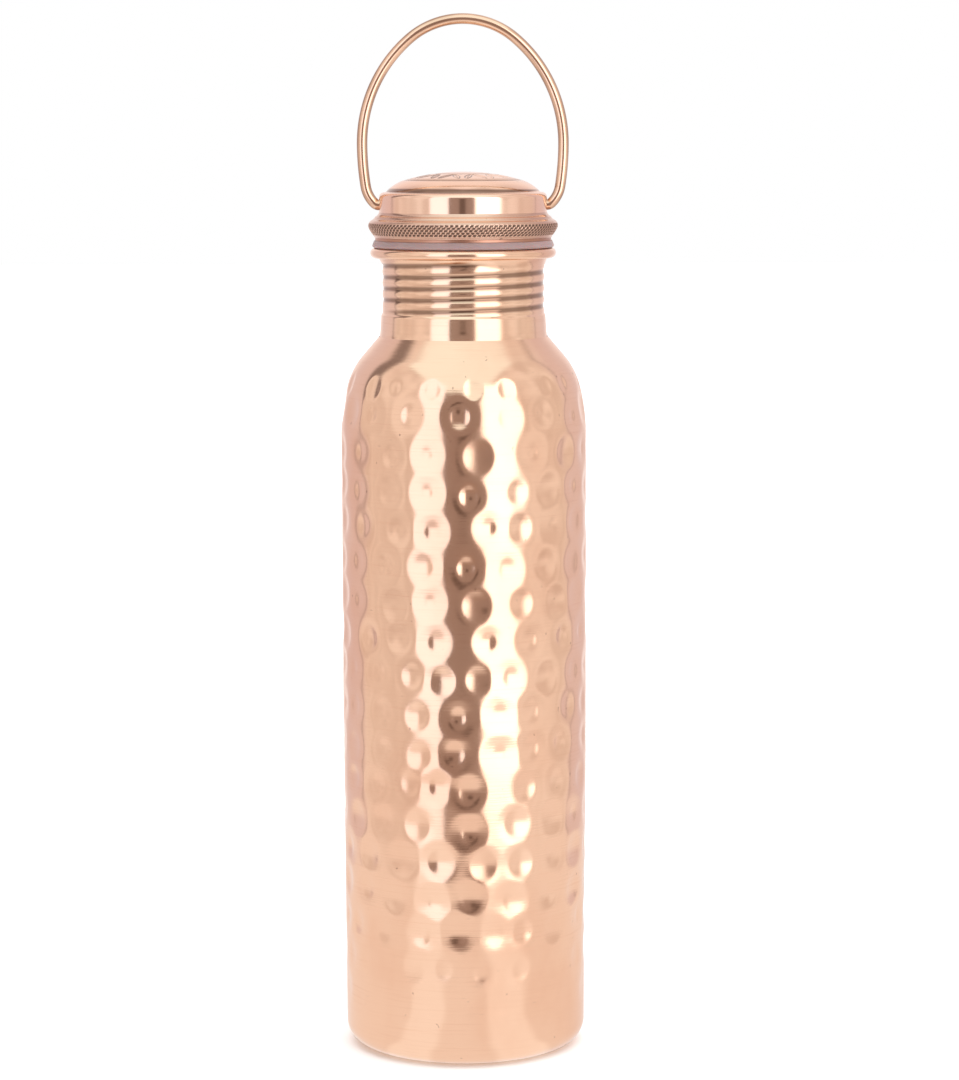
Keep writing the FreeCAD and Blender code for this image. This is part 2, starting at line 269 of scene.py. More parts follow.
def body_outline():
    """Outer side fine enough for the hammer marks, inner side coarse."""
    fine = 0.82
    coarse = 12.0
    bend = (BODY_RADIUS - SHOULDER_BEND, SHOULDER_LOW)
    knee = on_circle(bend, SHOULDER_BEND - SHOULDER_KNEE, 90 - SHOULDER_BEND_TURN)
    level = 90 - SHOULDER_TURN
    bend_end = on_circle(bend, SHOULDER_BEND, 90 - SHOULDER_BEND_TURN)
    knee_end = on_circle(knee, SHOULDER_KNEE, level)
    cone_top = knee_end[1] + (knee_end[0] - NECK_FOOT_RADIUS) * math.tan(math.radians(level))
    inner_bend_end = on_circle(bend, SHOULDER_BEND - MARKED_WALL, 90 - SHOULDER_BEND_TURN)
    inner_knee_end = on_circle(knee, SHOULDER_KNEE - WALL, level)
    return trace([
        (FOOT_HOLE, 0.0, 0, 0.3),
        (FOOT_RADIUS - FOOT_CORNER, 0.0, 0, 1.2),
        (FOOT_RADIUS, FOOT_CORNER, FOOT_CORNER, fine),
        (BODY_RADIUS, BARREL_LOW, 0, fine),
        (BODY_RADIUS, SHOULDER_LOW, 0, fine),
        (*bend_end, SHOULDER_BEND, fine),
        (*knee_end, SHOULDER_KNEE, fine),
        (NECK_FOOT_RADIUS, cone_top, 0, fine),
        (NECK_FOOT_RADIUS, cone_top - WALL / math.cos(math.radians(level)), 0, 1.0),
        (*inner_knee_end, 0, coarse),
        (*inner_bend_end, -(SHOULDER_KNEE - WALL), coarse / 3),
        (BODY_RADIUS - MARKED_WALL, SHOULDER_LOW, -(SHOULDER_BEND - MARKED_WALL), coarse / 3),
        (BODY_RADIUS - MARKED_WALL, BARREL_LOW, 0, coarse * 2),
        (FOOT_RADIUS - MARKED_WALL, 4 * FOOT_CORNER, 0, coarse * 2),
        (FOOT_RADIUS - WALL, FOOT_CORNER, 0, coarse * 2),
        (FOOT_RADIUS - FOOT_CORNER, WALL, -(FOOT_CORNER - WALL), coarse / 4),
        (FOOT_HOLE, WALL, 0, coarse),
    ])


def hammer_row(front_marks, largest_punch=LARGEST_PUNCH):
    """All marks of a row as (angle in degrees from +X, punch radius), the front ones first."""
    marks = [(FRONT + front, punch) for front, punch in front_marks]
    free = 360 - (marks[-1][0] - marks[0][0])
    gaps = round(free * MARKS_PER_ROW / 360)
    for place in range(1, gaps):
        angle = marks[len(front_marks) - 1][0] + free * place / gaps
        marks.append((angle + RANDOM.normal(0, MARK_JITTER), RANDOM.uniform(SMALLEST_PUNCH, largest_punch)))
    return marks


def hammer_marks():
    """Hand-struck marks in wavering rows, each a wide soft sink with a crisp punch mark in it, as (angle,
    height, sink radius, sink depth, punch radius, punch slope in degrees). A small punch cuts steeper than
    a wide one, the lowest rows are faint, and a row of small marks runs round above the others."""
    marks = []
    rows = len(FRONT_MARKS)
    for row, front_marks in enumerate(FRONT_MARKS):
        strong = 1 - 0.7 * smoothstep(float(row), rows - FAINT_ROWS, rows - 0.5)
        for angle, punch in hammer_row(front_marks):
            up = MARK_ROW_TOP - MARK_ROW_STEP * row + RANDOM.normal(0, 0.6)
            size = MARK_RADIUS * RANDOM.uniform(0.92, 1.06)
            sink = MARK_SINK * RANDOM.uniform(0.75, 1.2) * strong
            slope = PUNCH_SLOPE * (1.6 - 0.18 * punch) * RANDOM.uniform(0.85, 1.15) * strong
            if abs(angle - FRONT) < HEAVY_BLOW_REACH:
                slope *= HEAVY_BLOWS.get(row, 1.0)
            marks.append((math.radians(angle), up, size, sink, punch, slope))
    for angle, punch in hammer_row(SMALL_FRONT_MARKS, LARGEST_SMALL_PUNCH):
        up = SMALL_MARK_ROW + RANDOM.normal(0, 0.5)
        marks.append((math.radians(angle), up, punch + 1.0, SMALL_MARK_SINK, punch, 1.5 * PUNCH_SLOPE))
    return marks


def hammer_relief(angle, height, radius):
    """Inward move of each point of the outer side: the marks, and a slow waver of the whole barrel."""
    sink = np.zeros((height.shape[0], angle.shape[1]))
    punched = np.zeros_like(sink)
    outside = np.zeros((height.shape[0], 1))
    outside[:int(np.argmax(height[:, 0])) + 1] = 1
    for mark_angle, up, sink_radius, deep, punch_radius, slope in hammer_marks():
        across = ((angle - mark_angle + math.pi) % (2 * math.pi) - math.pi) * radius
        distance = (across ** 2 + (height - up) ** 2) / sink_radius ** 2
        sink += np.clip(1 - distance, 0, None) ** 1.6 * deep
        distance = (across ** 2 + ((height - up) / PUNCH_STRETCH) ** 2) / punch_radius ** 2
        cap = math.tan(math.radians(slope)) * punch_radius / 2
        punched = np.maximum(punched, np.clip(1 - distance, 0, None) * cap)
    waver = WAVER * np.sin(3 * angle + height / 31) * np.sin(height / 23 + 1.3)
    barrel = smoothstep(height, 8, 30) * (1 - smoothstep(height, 190, 205))
    return -(sink + punched + (WAVER + waver) * barrel) * outside


def hammered_body(material):
    """Drawn shell with hammer marks in its outer side."""
    piece, move = turned("hammered_shell", body_outline(), BODY_COLUMNS, hammer_relief, sharp_angle=60)
    set_tarnish_and_shade(piece, -move / MARK_SINK)
    attach(piece, "hammered_copper", "bottle", material, "hammered_body")


# ---------------------------------------------------------------- base plate and neck

PLATE_RADIUS = 30.0
DISH_RADIUS = 25.5
DISH_RISE = 3.0
TURNING_RING = 2.4
TURNING_DEPTH = 0.02


def base_plate(material):
    """Dished disc with faint turning rings, on the foot's inward hem."""
    bend = (DISH_RADIUS ** 2 + DISH_RISE ** 2) / (2 * DISH_RISE)
    outline = trace([
        (0.0, WALL + DISH_RISE, 0, 1.0),
        (DISH_RADIUS, WALL, -bend, 0.8),
        (PLATE_RADIUS, WALL, 0, 1.5),
        (PLATE_RADIUS, 2 * WALL, 0, 0.5),
        (DISH_RADIUS, 2 * WALL, 0, 1.5),
        (0.0, 2 * WALL + DISH_RISE, bend, 2.0),
    ], closed=False)

    def rings(angle, height, radius):
        wave = TURNING_DEPTH * np.sin(radius * 2 * math.pi / TURNING_RING)
        return wave * (radius < DISH_RADIUS - 1) * np.ones_like(angle)

    piece, _ = turned("dished_base", outline, 128, rings, closed=False)
    attach(piece, "polished_copper", "bottle", material, "base_plate")


PITCH = 3.4
THREAD_START = 224.9
THREAD_TURNS = 4.33
THREAD_RADIUS = 24.45
THREAD_TOP = 241.0
RIDGE_CURVE = 2.75
GROOVE_DEPTH = 0.46
# The thread's relief ends at this radius, at the foot of the mouth bead.
THREAD_REACH = 26.0
NECK_BORE = 23.8
BAND_FLARE_LOW = 216.6
BAND_FLARE = 14.0
BAND_LOW = 219.6
BAND_RADIUS = 25.1
BAND_TOP = 223.6
BAND_TOP_RADIUS = 24.85
COVE_LOW = 237.2
BEAD = (26.45, 242.35)
BEAD_CURVE = 1.5
BEAD_START = 215


def thread_relief(angle, height, radius):
    """Inward move of the thread, rolled through the wall: rounded ridges with narrow grooves between."""
    turn = (angle / (2 * math.pi) - 0.5) % 1.0
    groove = THREAD_START + PITCH * turn
    lap = np.clip(np.round((height - groove) / PITCH), 0, None)
    travelled = lap + turn
    from_groove = np.abs(height - groove - lap * PITCH)
    from_crest = np.clip(PITCH / 2 - from_groove, 0, None)
    sag = RIDGE_CURVE - np.sqrt(RIDGE_CURVE ** 2 - np.minimum(from_crest, RIDGE_CURVE * 0.9) ** 2)
    sag = np.where(from_groove < PITCH / 2, sag, 0)
    deep = GROOVE_DEPTH * np.tanh(sag / GROOVE_DEPTH)
    run_in = smoothstep(travelled, -0.02, 0.18)
    run_out = 1 - smoothstep(travelled, THREAD_TURNS - 0.1, THREAD_TURNS)
    threaded = (height > THREAD_START - PITCH) & (height < THREAD_TOP) & (radius < THREAD_REACH)
    return -deep * (run_in * run_out) * threaded


def neck_outline():
    """Plain band that spreads into the shoulder, thread zone, cove, mouth bead and bore."""
    fine = 0.13
    bead_low = on_circle(BEAD, BEAD_CURVE, BEAD_START)
    run, rise = bead_low[0] - THREAD_RADIUS, bead_low[1] - COVE_LOW
    cove = (run ** 2 + rise ** 2) / (2 * run)
    return trace([
        (NECK_FOOT_RADIUS - WALL, NECK_LOW, 0, 1.0),
        (NECK_FOOT_RADIUS, NECK_LOW, 0, 0.5),
        (NECK_FOOT_RADIUS, BAND_FLARE_LOW, 0, 1.0),
        (BAND_RADIUS, BAND_LOW, -BAND_FLARE, 0.25),
        (BAND_TOP_RADIUS, BAND_TOP, 0, 0.5),
        (THREAD_RADIUS, BAND_TOP + 0.7, 0, fine),
        (THREAD_RADIUS, COVE_LOW, 0, fine),
        (*bead_low, -cove, fine),
        (BEAD[0] + BEAD_CURVE, BEAD[1], BEAD_CURVE, fine),
        (BEAD[0], BEAD[1] + BEAD_CURVE, BEAD_CURVE, fine),
        (NECK_BORE + 0.7, MOUTH_HEIGHT, 0, 0.5),
        (NECK_BORE, MOUTH_HEIGHT - 0.6, 0.7, 0.15),
        (NECK_BORE, THREAD_TOP, 0, 0.6),
        (NECK_BORE, BAND_TOP + 1.0, 0, 2.5 * fine),
        (NECK_FOOT_RADIUS - WALL, BAND_FLARE_LOW + 0.8, 0, 1.0),
    ])


def threaded_neck(material):
    """Neck with its rolled thread, outside and in."""
    piece, move = turned("rolled_neck", neck_outline(), 288, thread_relief, sharp_angle=50)
    # The thread's grooves are darkened by their depth: tarnish and painted shade.
    set_tarnish_and_shade(piece, -move / GROOVE_DEPTH)
    attach(piece, "polished_copper", "bottle", material, "threaded_neck")


# ---------------------------------------------------------------- gasket and knurled ring

def lid_gasket(material):
    """Soft washer with rounded edges, a little narrower above."""
    bore_radius, lower_edge, taper, upper_edge = 23.75, 0.7, 0.45, 0.35
    outline = trace([
        (bore_radius, GASKET_LOW, 0, 0.5),
        (GASKET_RADIUS - lower_edge, GASKET_LOW, 0, 0.5),
        (GASKET_RADIUS, GASKET_LOW + lower_edge, 0.8, 0.15),
        (GASKET_RADIUS - taper, GASKET_TOP - upper_edge, 0, 0.3),
        (GASKET_RADIUS - taper - upper_edge, GASKET_TOP, upper_edge, 0.12),
        (bore_radius, GASKET_TOP, 0, 0.5),
    ])
    piece, _ = turned("soft_gasket", outline, 192)
    attach(piece, "clear_silicone", "gasket", material, "lid_gasket")


RING_LIP = (26.8, 247.35)
RING_CREST = 28.2
RING_CREST_LOW = 249.4
RING_CREST_TOP = 251.6
RING_STEP = (27.5, 252.2)
RING_COLLAR = (26.5, 253.2)

KNURL_CELLS = 120
KNURL_COLUMNS = 960
KNURL_ROWS = 5
KNURL_ROW = 0.72
KNURL_LOW = 247.75
KNURL_DEPTH = 0.25
KNURL_STAGGER = 0.42
KNURL_SLANT = 0.25


def knurl_relief(angle, height, radius):
    """Staggered rows of slanted pits round the crest, as an inward move."""
    up = (height - KNURL_LOW) / KNURL_ROW
    row = np.clip(np.floor(up), 0, KNURL_ROWS - 1)
    within = up - row
    cells = angle * KNURL_CELLS / (2 * math.pi)
    across = (cells + KNURL_STAGGER * row - KNURL_SLANT * (within - 0.5)) % 1.0
    pit = smoothstep(across, 0.0, 0.12) * (1 - smoothstep(across, 0.62, 0.76))
    pit = pit * smoothstep(within, 0.0, 0.15) * (1 - smoothstep(within, 0.8, 1.0))
    return -KNURL_DEPTH * pit * (radius > RING_COLLAR[0])


def knurled_ring(material):
    """Grip ring round the lid's lower wall."""
    fine = 0.12
    outline = trace([
        (LID_RADIUS, RING_LOW, 0, 1.0),
        (FLANGE_RADIUS, RING_LOW, 0, 0.4),
        (*RING_LIP, 0.6, fine),
        (RING_CREST, RING_CREST_LOW, 9.0, fine),
        (RING_CREST, RING_CREST_TOP, 1.9, fine),
        (*RING_STEP, 2.2, fine),
        (*RING_COLLAR, -1.6, 0.2),
        (LID_RADIUS, RING_TOP, -2.0, 0.2),
    ])
    piece, move = turned("grip_ring", outline, KNURL_COLUMNS, knurl_relief, sharp_angle=75)
    # The knurl's pits are darkened by their depth with tarnish and painted shade; the ring's copper is a
    # darker copy, painted shade.
    set_tarnish_and_shade(piece, -move / KNURL_DEPTH)
    attach(piece, "knurled_copper", "lid", material, "knurled_ring")


# ---------------------------------------------------------------- lid shell

ORNAMENT_RINGS = (17.6, 17.1, 16.1, 8.6, 8.1)
ORNAMENT_MIDDLE = 12.4
ORNAMENT_LEAVES = 22
LEAF_REACH = 2.9
LEAF_HALF_WIDTH = 0.95
LEAF_LEAN = 0.35
LINE_WIDTH = 0.2
ENGRAVED = 0.14

LID_CORNER = 1.6
LID_CORNER_HEIGHT = 258.9
CAP_CURVE, CAP_TURN = 65.0, 15.2
HAUNCH_CURVE, HAUNCH_TURN = 13.2, 45.3
VALLEY_RADIUS = 22.7
PIVOT_HOLE = 1.75
LID_COLUMNS = 480


def ornament_relief(angle, height, radius):
    """Engraved rings and a wreath of plain leaves on the dome, as an inward move."""
    line = np.zeros((height.shape[0], angle.shape[1]))
    for ring in ORNAMENT_RINGS:
        line = np.maximum(line, np.exp(-((radius - ring) / LINE_WIDTH) ** 2))
    sector = 2 * math.pi / ORNAMENT_LEAVES
    lap = np.round(angle / sector)
    along = radius - ORNAMENT_MIDDLE
    across = (angle - lap * sector) * radius - along * LEAF_LEAN * (-1) ** lap
    edge = np.abs(np.abs(across) - LEAF_HALF_WIDTH * np.clip(1 - (along / LEAF_REACH) ** 2, 0, None))
    edge_line = np.exp(-(edge / LINE_WIDTH) ** 2) * (np.abs(along) < LEAF_REACH)
    vein = np.exp(-(across / 0.15) ** 2) * (np.abs(along) < 2.0)
    line = np.maximum(line, np.maximum(edge_line, 0.8 * vein))
    wall_top = np.argmax(height[:-1] * (radius[:-1] > LID_RADIUS - 0.01))
    outer = np.arange(len(height))[:, None] > wall_top
    return -ENGRAVED * line * outer


def lid_outline():
    """Inner side coarse, then the wall, the rolled corner, the valley and the dome with fine rows."""
    corner_end = on_circle((LID_RADIUS - LID_CORNER, LID_CORNER_HEIGHT), LID_CORNER, 16)
    cap = (0.0, DOME_TOP - CAP_CURVE)
    haunch = on_circle(cap, CAP_CURVE - HAUNCH_CURVE, CAP_TURN)
    haunch_low = on_circle(haunch, HAUNCH_CURVE, HAUNCH_TURN)
    haunch_top = on_circle(cap, CAP_CURVE, CAP_TURN)
    valley = (haunch_low[0] + 0.35, haunch_low[1] - 0.28)
    inner_haunch_top = on_circle(cap, CAP_CURVE - WALL, CAP_TURN)
    fine = 0.15
    return trace([
        (0.0, DOME_TOP - WALL, 0, 2.0),
        (*inner_haunch_top, -(CAP_CURVE - WALL), 2.0),
        (haunch_low[0] - WALL, haunch_low[1] - WALL, -(HAUNCH_CURVE - WALL), 2.0),
        (LID_RADIUS - WALL, LID_CORNER_HEIGHT - WALL, 0, 2.0),
        (LID_RADIUS - WALL, LID_LOW, 0, 3.0),
        (LID_RADIUS, LID_LOW, 0, 0.5),
        (LID_RADIUS, LID_CORNER_HEIGHT, 0, 1.0),
        (*corner_end, LID_CORNER, fine),
        (*valley, -2.2, fine),
        (*haunch_low, -0.6, fine),
        (*haunch_top, HAUNCH_CURVE, fine),
        (0.0, DOME_TOP, CAP_CURVE, 1.3 * fine),
    ], closed=False)


def valley_painted_shade(outline):
    """Painted shade: a dark line in the valley round the dome, widest at the front left and faint opposite.
    """
    angle = np.arange(LID_COLUMNS) * 2 * math.pi / LID_COLUMNS
    side = 0.6 + 0.4 * np.cos(angle + math.radians(115))
    width = 0.2 + 0.5 * side ** 2
    line = np.exp(-((outline[:, :1] - VALLEY_RADIUS) / width) ** 2) * side
    return line * (outline[:, 1:] > LID_CORNER_HEIGHT + 0.1)


def lid_shell(material):
    """Spun cap with an engraved dome, with tarnish and painted shade in its engraved lines and painted
    shade in its valley, and a pivot hole each side.
    """
    outline = lid_outline()
    piece, move = turned("domed_lid", outline, LID_COLUMNS, ornament_relief, closed=False, sharp_angle=55)
    # Engraved lines: tarnish and painted shade; valley line: painted shade.
    shade = np.maximum(-move / ENGRAVED * 0.85, valley_painted_shade(outline))
    poles = len(piece.data.vertices) - (len(outline) - 2) * LID_COLUMNS
    set_tarnish_and_shade(piece, np.concatenate((shade[1:-1].ravel(), np.zeros(poles))))
    bore(piece, PIVOT_HEIGHT, PIVOT_HOLE, 2 * LID_RADIUS + 4)
    attach(piece, "polished_copper", "lid", material, "lid_shell")


# ---------------------------------------------------------------- bail

WIRE = 1.6
BAIL_CROWN = 24.4
BAIL_WIDEST = 275.0
BAIL_LEAN = 9.0
BAIL_ELBOW = 9.0
BAIL_ELBOW_TURN = 46.0
BAIL_BEND = 1.8
BAIL_END = 23.8
BAIL_SIDES = 28
# The peened head on each end: (distance in from the wire's end in millimetres, radius in wire radii).
PEENED_HEAD = np.array([(0.0, 1.0), (0.15, 1.3), (0.45, 1.44), (0.75, 1.3), (0.9, 0.9), (0.95, 0.0)])


def bail_route():
    """Middle line of the wire from the crown to one end, as (x, z) points."""
    half_span = BAIL_REACH - WIRE
    top = BAIL_TOP - WIRE
    inset = half_span - BAIL_CROWN
    drop = top - BAIL_WIDEST - BAIL_CROWN
    stretch = (inset ** 2 + drop ** 2) / (2 * inset)
    lean, elbow = math.radians(BAIL_LEAN), math.radians(BAIL_ELBOW_TURN)
    bend_top = PIVOT_HEIGHT + BAIL_BEND * (1 - math.sin(elbow))
    leg_low = bend_top + BAIL_ELBOW * (math.sin(elbow) - math.sin(lean))
    leg = (BAIL_WIDEST - leg_low) / math.sin(lean)
    leg_end = half_span - leg * (1 - math.cos(lean))
    elbow_end = leg_end - BAIL_ELBOW * (math.cos(lean) - math.cos(elbow))
    crown_end = (BAIL_CROWN * (stretch - inset) / stretch, top - BAIL_CROWN * (1 - drop / stretch))
    return trace([
        (0.0, top, 0, 1.0),
        (*crown_end, -BAIL_CROWN, 0.6),
        (half_span, BAIL_WIDEST, -(BAIL_CROWN + stretch), 0.8),
        (leg_end, leg_low, -leg, 0.8),
        (elbow_end, bend_top, -BAIL_ELBOW, 0.5),
        (elbow_end - BAIL_BEND * math.cos(elbow), PIVOT_HEIGHT, -BAIL_BEND, 0.25),
        (BAIL_END, PIVOT_HEIGHT, 0, 0.6),
    ], closed=False)


def bail_handle(material):
    """Wire hoop: a round tube along its middle line, with a peened head on each end. The wire is darkened
    with painted shade on the inner and the outer side of the hoop."""
    right = bail_route()
    left = right[:0:-1] * (-1, 1)
    wire = np.concatenate((left, right))
    tangent = np.gradient(wire, axis=0)
    tangent /= np.hypot(*tangent.T)[:, None]
    outward = np.stack((-tangent[:, 1], tangent[:, 0]), 1)
    head_x = BAIL_END - PEENED_HEAD[:, 0]
    head_z = np.full(len(PEENED_HEAD), PIVOT_HEIGHT)
    head_swell = PEENED_HEAD[:, 1] * WIRE
    head_outward = np.tile((0.0, -1.0), (len(PEENED_HEAD), 1))
    left_head = np.stack((-head_x, head_z), 1)[::-1]
    right_head = np.stack((head_x, head_z), 1)
    line = np.concatenate((left_head, wire, right_head))
    swell = np.concatenate((head_swell[::-1], np.full(len(wire), WIRE), head_swell))
    outward = np.concatenate((head_outward, outward, head_outward))
    turn = np.arange(BAIL_SIDES) * 2 * math.pi / BAIL_SIDES
    across = swell[:, None] * np.cos(turn)
    deep = swell[:, None] * np.sin(turn)
    x = line[:, :1] + outward[:, :1] * across
    z = line[:, 1:] + outward[:, 1:] * across
    vertices = np.stack((x, deep, z), 2)
    index = np.arange(len(line) * BAIL_SIDES).reshape(len(line), BAIL_SIDES)
    before, after = index[:-1], index[1:]
    faces = np.stack((before, np.roll(before, -1, 1), np.roll(after, -1, 1), after), 2).reshape(-1, 4)
    piece = add_mesh("wire_bail", vertices.reshape(-1, 3), faces, 60)
    # Painted shade on the wire's inner and outer sides, which are its edges seen from the front.
    set_tarnish_and_shade(piece, np.tile(np.abs(np.cos(turn)), len(line)))
    weld_poles(piece, len(line), BAIL_SIDES)
    attach(piece, "copper_wire", "bail", material, "bail_handle")


# ---------------------------------------------------------------- shader helpers

def node(tree, kind, inputs=(), **settings):
    """New node with its settings, and with values or links on its numbered or named inputs."""
    item = tree.nodes.new(kind)
    for key, value in settings.items():
        setattr(item, key, value)
    for key, value in dict(inputs).items():
        if isinstance(value, bpy.types.NodeSocket):
            tree.links.new(value, item.inputs[key])
        else:
            item.inputs[key].default_value = value
    return item


def maths(tree, operation, *values):
    """Output of a Math node."""
    return node(tree, "ShaderNodeMath", enumerate(values), operation=operation).outputs[0]


def smooth(tree, value, low, high, start=0.0, end=1.0):
    """Smooth change from start to end as value goes from low to high."""
    inputs = {"Value": value, "From Min": low, "From Max": high, "To Min": start, "To Max": end}
    return node(tree, "ShaderNodeMapRange", inputs, interpolation_type="SMOOTHSTEP").outputs[0]


def band(tree, value, low, high, soft):
    """1 between low and high, with soft ends."""
    rise = smooth(tree, value, low - soft / 2, low + soft / 2)
    fall = smooth(tree, value, high - soft / 2, high + soft / 2, 1.0, 0.0)
    return maths(tree, "MULTIPLY", rise, fall)


def mix(tree, share, first, second):
    """Colour between two colours."""
    return node(tree, "ShaderNodeMix", {0: share, 6: first, 7: second}, data_type="RGBA").outputs[2]


def noise(tree, place, scale, detail):
    """Value of a Noise Texture at place."""
    inputs = {"Vector": place, "Scale": scale, "Detail": detail}
    return node(tree, "ShaderNodeTexNoise", inputs).outputs["Fac"]


def stretched(tree, scale):
    """Object coordinates, stretched."""
    place = node(tree, "ShaderNodeTexCoord").outputs["Object"]
    return node(tree, "ShaderNodeMapping", {"Vector": place, "Scale": scale}).outputs[0]


def new_material(name):
    """Material with the tree and the Principled shader that it starts with."""
    material = bpy.data.materials.new(name)
    material.use_nodes = True
    return material, material.node_tree, material.node_tree.nodes["Principled BSDF"]


# ---------------------------------------------------------------- materials

# Each copper: bright colour, deep colour, roughness, bump strength of the turning lines, and, where its
# recesses are darkened with tarnish and painted shade, the depths at which that starts and is full and how
# strong it is.
COPPERS = {
    "polished_copper": ((0.97, 0.665, 0.48), (0.9, 0.54, 0.37), 0.09, 0.05),
    "hammered_copper": ((0.96, 0.655, 0.465), (0.88, 0.535, 0.36), 0.1, 0.08),
    # Grip ring copper: a darker copy, painted shade; its pits darker still with tarnish and painted shade.
    "knurled_copper": ((0.85, 0.58, 0.44), (0.55, 0.34, 0.25), 0.16, 0.03, (0.1, 0.6, 0.97)),
    # Lid copper: its engraved lines get tarnish and painted shade, and its valley gets painted shade.
    "engraved_copper": ((1.0, 0.72, 0.545), (0.94, 0.59, 0.43), 0.09, 0.04, (0.05, 0.7, 0.95)),
    # Neck copper: its thread grooves get tarnish and painted shade.
    "tarnished_and_shaded_copper": ((1.0, 0.71, 0.51), (0.87, 0.52, 0.345), 0.1, 0.05, (0.08, 0.75, 0.85)),
    # Painted shade: a dark copy of the copper for the plug's flange in the shadow under the ring.
    "painted_shade_copper": ((0.62, 0.34, 0.24), (0.42, 0.22, 0.15), 0.28, 0.1),
    # Wire copper: painted shade on the wire's inner and outer sides.
    "copper_wire": ((0.95, 0.66, 0.47), (0.6, 0.36, 0.24), 0.1, 0.0, (0.45, 1.0, 0.55)),
}


def copper(name, bright, deep, roughness, brushing, tarnish_and_shade=None):
    """Polished copper with turning lines round Z, stains, specks, scratches, and recesses darkened with
    tarnish and painted shade.
    """
    material, tree, shader = new_material(name)
    shader.inputs["Metallic"].default_value = 1.0
    lines = noise(tree, stretched(tree, (45.0, 45.0, 3600.0)), 1.0, 3.0)
    scratches = noise(tree, stretched(tree, (260.0, 260.0, 1500.0)), 1.0, 1.0)
    stains = noise(tree, stretched(tree, (1.0, 1.0, 0.6)), 38.0, 4.0)
    specks = noise(tree, stretched(tree, (1.0, 1.0, 0.7)), 800.0, 0.0)
    dark = tuple(0.3 * value for value in deep)
    colour = mix(tree, smooth(tree, stains, 0.4, 0.75, 0.0, 0.6), (*bright, 1), (*deep, 1))
    colour = mix(tree, smooth(tree, lines, 0.52, 0.8, 0.0, 0.45), colour, (*deep, 1))
    colour = mix(tree, smooth(tree, specks, 0.85, 0.9, 0.0, 0.5), colour, (*dark, 1))
    colour = mix(tree, smooth(tree, scratches, 0.78, 0.84, 0.0, 0.3), colour, (*dark, 1))
    # Darkens the recesses and the masks of painted shade: tarnish and painted shade.
    if tarnish_and_shade:
        start, full, strength = tarnish_and_shade
        depth = node(tree, "ShaderNodeAttribute", attribute_name="tarnish_and_shade_mask").outputs["Fac"]
        depth = maths(tree, "MULTIPLY", depth, smooth(tree, stains, 0.25, 0.6, 0.7, 1.1))
        colour = mix(tree, smooth(tree, depth, start, full, 0.0, strength), colour, (*dark, 1))
    tree.links.new(colour, shader.inputs["Base Color"])
    rough = maths(tree, "MULTIPLY_ADD", stains, 0.08, roughness - 0.04)
    rough = maths(tree, "MULTIPLY_ADD", lines, 0.06, rough)
    tree.links.new(rough, shader.inputs["Roughness"])
    bump = node(tree, "ShaderNodeBump", {"Height": lines, "Strength": brushing, "Distance": 0.0002})
    tree.links.new(bump.outputs[0], shader.inputs["Normal"])
    return material


def silicone():
    """Translucent grey silicone with a soft sheen."""
    material, tree, shader = new_material("silicone")
    cloud = noise(tree, stretched(tree, (1.0, 1.0, 1.0)), 220.0, 3.0)
    colour = mix(tree, cloud, (0.29, 0.195, 0.185, 1), (0.36, 0.25, 0.24, 1))
    tree.links.new(colour, shader.inputs["Base Color"])
    tree.links.new(maths(tree, "MULTIPLY_ADD", cloud, 0.15, 0.3), shader.inputs["Roughness"])
    shader.inputs["Subsurface Weight"].default_value = 0.35
    shader.inputs["Subsurface Scale"].default_value = 0.002
    return material


# ---------------------------------------------------------------- light tent

# Places in the tent, in degrees to the right of the front and in degrees above level.
LEFT_STRIP = (-46, -19)
RIGHT_STRIP = (17, 53)
STRIP_TOP = (34, 40)
GAP = (-19, 16)
GAP_TOP = (26, 28)
# The roof's sides, as distances from the axis for each unit of height: across, and to the front.
ROOF_ACROSS = (-0.78, 0.63)
ROOF_FORWARD = (0.0, 1.9)
# Seams: azimuth, half width at level and from 35 degrees up, strength at level and from 12 degrees up.
SEAMS = (
    (-114, 1.6, 9.0, 0.5, 0.95),
    (118, 1.2, 1.2, 0.5, 0.5),
)

WALL_LIGHT = (0.95, 0.885, 0.87, 1)
WALL_DIM = (0.76, 0.67, 0.64, 1)
REAR_WALL = (0.78, 0.68, 0.72, 1)
FAR_REAR = (0.98, 0.88, 0.87, 1)
ROOF_LIGHT = (1.1, 1.2, 1.21, 1)
LEFT_LIGHT = (1.4, 1.38, 1.52, 1)
RIGHT_LIGHT = (2.2, 2.1, 2.15, 1)
GAP_BROWN = (0.36, 0.28, 0.26, 1)
LENS_DARK = (0.14, 0.098, 0.085, 1)
SEAM_GREY = (0.24, 0.2, 0.2, 1)
FOLD_BROWN = (0.4, 0.29, 0.25, 1)
BELOW_LIGHT = (0.92, 0.83, 0.8, 1)
PAPER_WHITE = (1.0, 1.0, 1.0, 1)


def tent_walls(tree, directions, azimuth, height):
    """Faintly mottled wall, dimmer to the rear and bright again right behind."""
    mottle = smooth(tree, noise(tree, directions, 3.6, 1.5), 0.33, 0.67)
    colour = mix(tree, mottle, WALL_LIGHT, WALL_DIM)
    rear = maths(tree, "MAXIMUM", smooth(tree, azimuth, 108, 120), smooth(tree, azimuth, -104, -116))
    rear = maths(tree, "MULTIPLY", rear, smooth(tree, height, 30, 55, 1.0, 0.0))
    colour = mix(tree, rear, colour, REAR_WALL)
    from_front = maths(tree, "ABSOLUTE", azimuth)
    return mix(tree, smooth(tree, from_front, 145, 165), colour, FAR_REAR)


def tent_roof(tree, colour, x, front, z):
    """Bright rectangle overhead, from above the bottle to well in front of it."""
    above = maths(tree, "MAXIMUM", z, 0.02)
    across = band(tree, maths(tree, "DIVIDE", x, above), *ROOF_ACROSS, 0.1)
    forward = band(tree, maths(tree, "DIVIDE", front, above), *ROOF_FORWARD, 0.1)
    return mix(tree, maths(tree, "MULTIPLY", across, forward), colour, ROOF_LIGHT)


